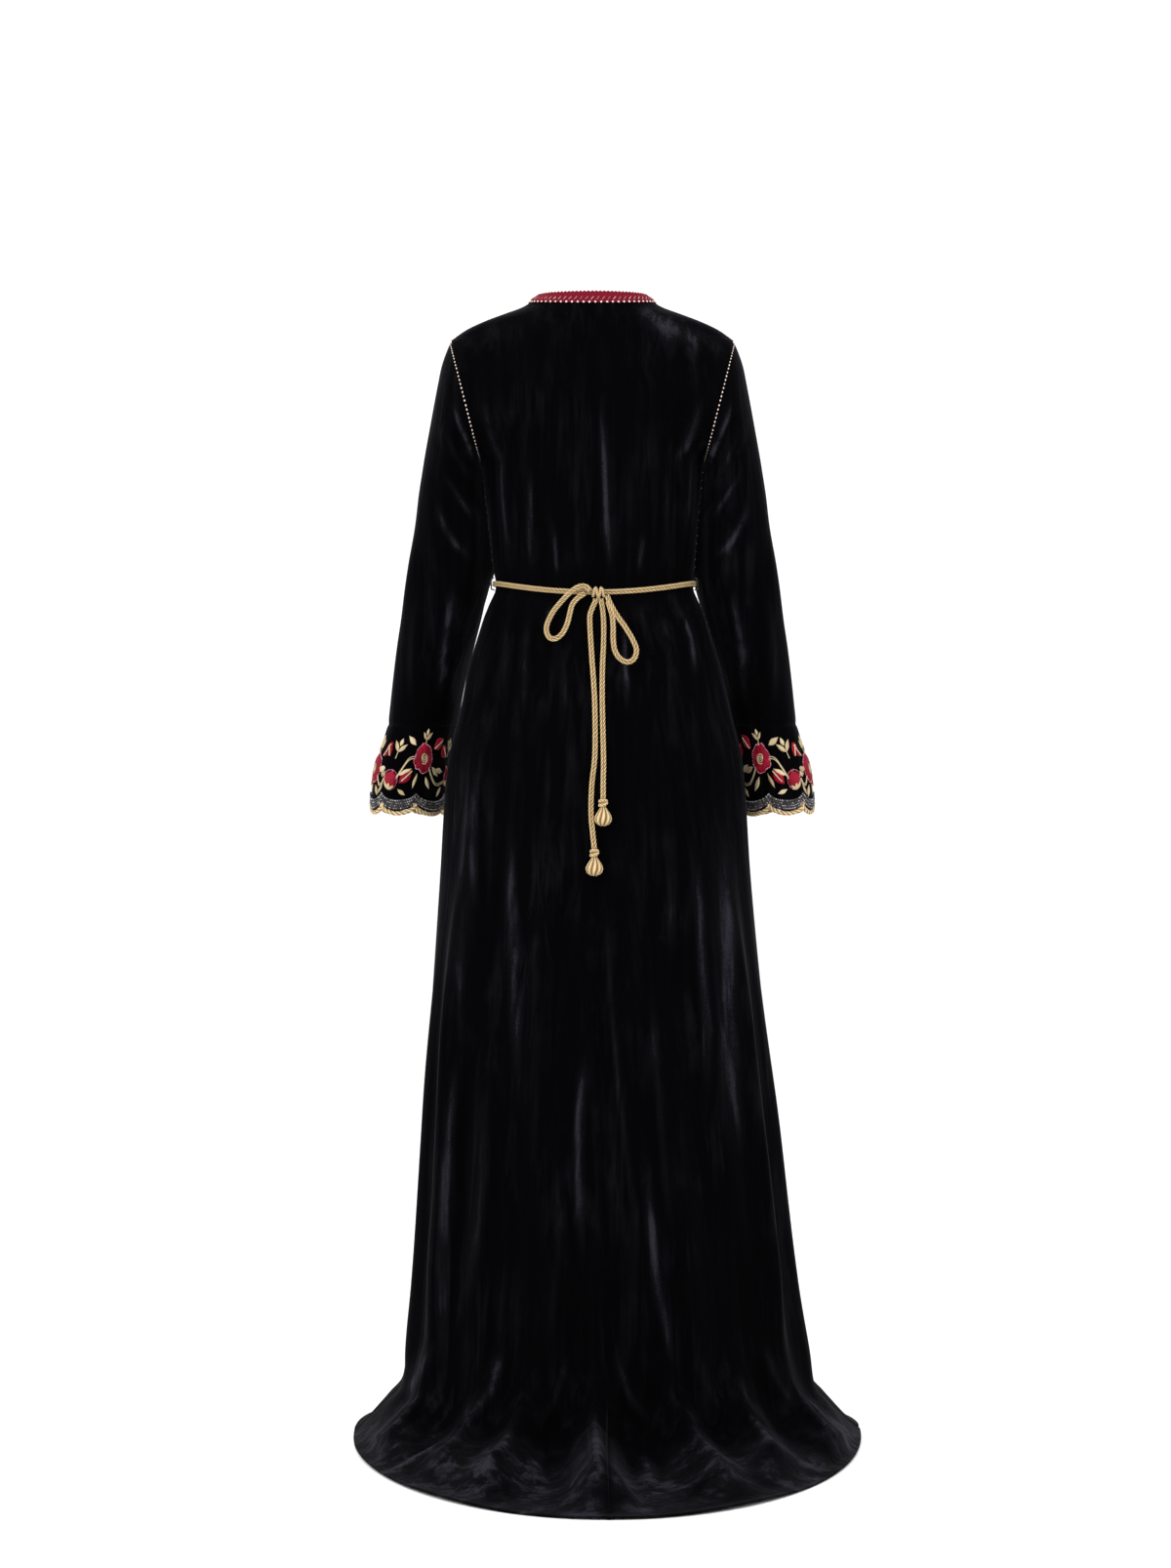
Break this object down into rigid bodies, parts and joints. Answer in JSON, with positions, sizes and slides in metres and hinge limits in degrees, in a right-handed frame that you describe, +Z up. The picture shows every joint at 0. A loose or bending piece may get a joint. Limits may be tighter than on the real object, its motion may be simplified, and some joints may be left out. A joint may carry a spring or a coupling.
{
  "type": "kaftan",
  "caption": "Floor-length velvet kaftan in its worn form, with bell sleeves, scalloped embroidered cuffs, braided neck, cord belt tied behind and a short train.",
  "frame": {"origin": "midpoint between the shoulders, on the line where the shoulder seams rest, 1.53 m above the floor that the hem reaches", "axes": "+Z up, +X to the wearer's left, the front faces -Y and the train runs out along +Y"},
  "size_m": [0.702, 0.885, 1.5812],
  "materials": {
    "velvet": "black pile velvet",
    "embroidered_velvet": "black velvet with crimson and gold embroidery",
    "bead_braid": "dark grey beaded braid",
    "crimson_braid": "crimson woven braid with cream picots",
    "gold_cord": "pale gold twisted rayon cord",
    "carrier_thread": "dark buttonhole thread"
  },
  "bodies": {
    "root": {"back_left": "velvet", "back_right": "velvet", "front_left": "velvet", "front_right": "velvet", "sleeve_left": "velvet", "sleeve_right": "velvet", "cuff_left": "embroidered_velvet", "cuff_right": "embroidered_velvet", "cuff_braid_left": "bead_braid", "cuff_braid_right": "bead_braid", "cuff_cord_left": "gold_cord", "cuff_cord_right": "gold_cord", "neck_band": "crimson_braid", "slit_band_left": "crimson_braid", "slit_band_right": "crimson_braid", "belt": "gold_cord", "belt_knot": "gold_cord", "bow_loop_left": "gold_cord", "bow_loop_right": "gold_cord", "belt_tail_left": "gold_cord", "belt_tail_right": "gold_cord", "tassel_left": "gold_cord", "tassel_right": "gold_cord", "belt_carrier_left": "carrier_thread", "belt_carrier_right": "carrier_thread"}
  },
  "joints": []
}
